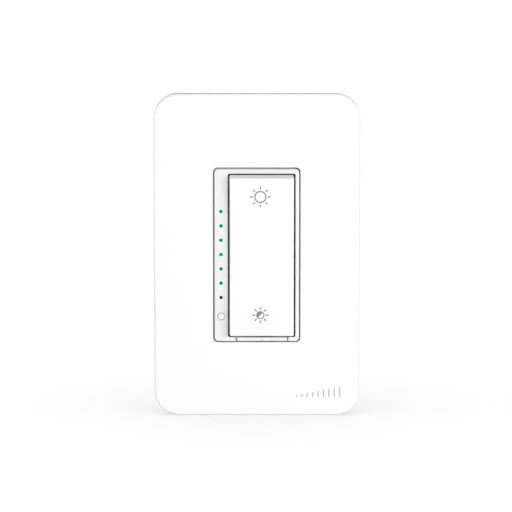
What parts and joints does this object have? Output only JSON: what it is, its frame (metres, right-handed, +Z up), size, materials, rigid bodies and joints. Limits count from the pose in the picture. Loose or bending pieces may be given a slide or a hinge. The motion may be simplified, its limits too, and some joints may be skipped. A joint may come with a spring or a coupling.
{
  "type": "rocker dimmer switch",
  "caption": "In-wall electronic dimmer with a hollow-faced rocker paddle, a light strip, a setup button, an air-gap pull tab and a screwless wall plate.",
  "frame": {"origin": "on the wall surface, midway between the two wall-box screws", "axes": "+X right as seen from the room, +Y into the wall, +Z up; the front faces -Y"},
  "size_m": [0.079, 0.0431, 0.124],
  "materials": {
    "plate_white": "satin moulded white",
    "frame_white": "satin moulded white",
    "paddle_white": "semi-gloss moulded white",
    "button_white": "semi-gloss moulded white",
    "bracket_white": "matt moulded off-white",
    "yoke_metal": "rolled and stamped",
    "screw_steel": "bright zinc",
    "retainer_plastic": "die-cut sheet",
    "ground_green": "green dyed zinc",
    "level_window": "lit window",
    "status_window": "dimly lit window",
    "lamp_epoxy": "clear epoxy",
    "housing_grey": "moulded, fine texture",
    "brass": "stamped",
    "copper": "bare copper",
    "copper_enamel": "enamelled wire",
    "board_green": "solder mask",
    "component_black": "moulded epoxy",
    "switch_black": "moulded",
    "plunger_white": "moulded",
    "spring_steel": "drawn wire",
    "tin_shield": "tinned",
    "ferrite": "sintered",
    "film_yellow": "moulded box",
    "sleeve_blue": "shrink sleeve",
    "varistor_blue": "dipped",
    "fuse_ceramic": "ceramic tube",
    "pad_grey": "silicone sheet"
  },
  "bodies": {
    "device": {"plate_bracket": "bracket_white", "plate_screws": "screw_steel", "yoke": "yoke_metal", "device_screws": "screw_steel", "screw_retainers": "retainer_plastic", "ground_screw": "ground_green", "front_frame": "frame_white", "pivot_pin": "screw_steel", "return_spring_upper": "spring_steel", "return_spring_lower": "spring_steel", "brighten_switch": "switch_black", "dim_switch": "switch_black", "setup_switch": "switch_black", "level_light_pipe": "level_window", "status_light_pipe": "status_window", "level_leds": "lamp_epoxy", "status_led": "lamp_epoxy", "air_gap_contacts": "copper", "control_board": "board_green", "power_board": "board_green", "radio_board": "board_green", "radio_shield": "tin_shield", "header_body": "component_black", "header_pins": "brass", "board_spacers": "plunger_white", "triac": "component_black", "triac_pad": "pad_grey", "triac_screw": "screw_steel", "choke_core": "ferrite", "choke_winding": "copper_enamel", "film_capacitor": "film_yellow", "bulk_capacitor": "sleeve_blue", "varistor": "varistor_blue", "fuse": "fuse_ceramic", "transformer_core": "ferrite", "transformer_winding": "copper_enamel", "terminal_clamps": "brass", "terminal_screws": "brass", "back_housing": "housing_grey", "housing_screws": "screw_steel"},
    "cover": {"cover_plate": "plate_white"},
    "paddle": {"paddle": "paddle_white"},
    "brighten_plunger": {"brighten_plunger": "plunger_white"},
    "dim_plunger": {"dim_plunger": "plunger_white"},
    "setup_button": {"setup_button": "button_white", "setup_plunger": "plunger_white"},
    "air_gap_tab": {"air_gap_tab": "frame_white", "air_gap_bridge": "copper"}
  },
  "joints": [
    {"name": "cover_pull", "type": "slide", "parent": "device", "child": "cover", "axis": [0, -1, 0], "range_m": [0, 0.03]},
    {"name": "paddle_rock", "type": "hinge", "parent": "device", "child": "paddle", "pos_m": [0.00183, -0.0042, 0], "axis": [1, 0, 0], "range_deg": [-2, 2], "stiffness_Nm_per_rad": 0.8, "deforming": ["return_spring_upper", "return_spring_lower"]},
    {"name": "brighten_press", "type": "slide", "parent": "device", "child": "brighten_plunger", "axis": [0, 1, 0], "range_m": [0, 0.00025], "stiffness_N_per_m": 1000, "springref_m": -0.0005},
    {"name": "dim_press", "type": "slide", "parent": "device", "child": "dim_plunger", "axis": [0, 1, 0], "range_m": [0, 0.00025], "stiffness_N_per_m": 1000, "springref_m": -0.0005},
    {"name": "setup_press", "type": "slide", "parent": "device", "child": "setup_button", "axis": [0, 1, 0], "range_m": [0, 0.0003], "stiffness_N_per_m": 1000, "springref_m": -0.0005},
    {"name": "air_gap_pull", "type": "slide", "parent": "device", "child": "air_gap_tab", "axis": [0, -1, 0], "range_m": [0, 0.0035]}
  ]
}
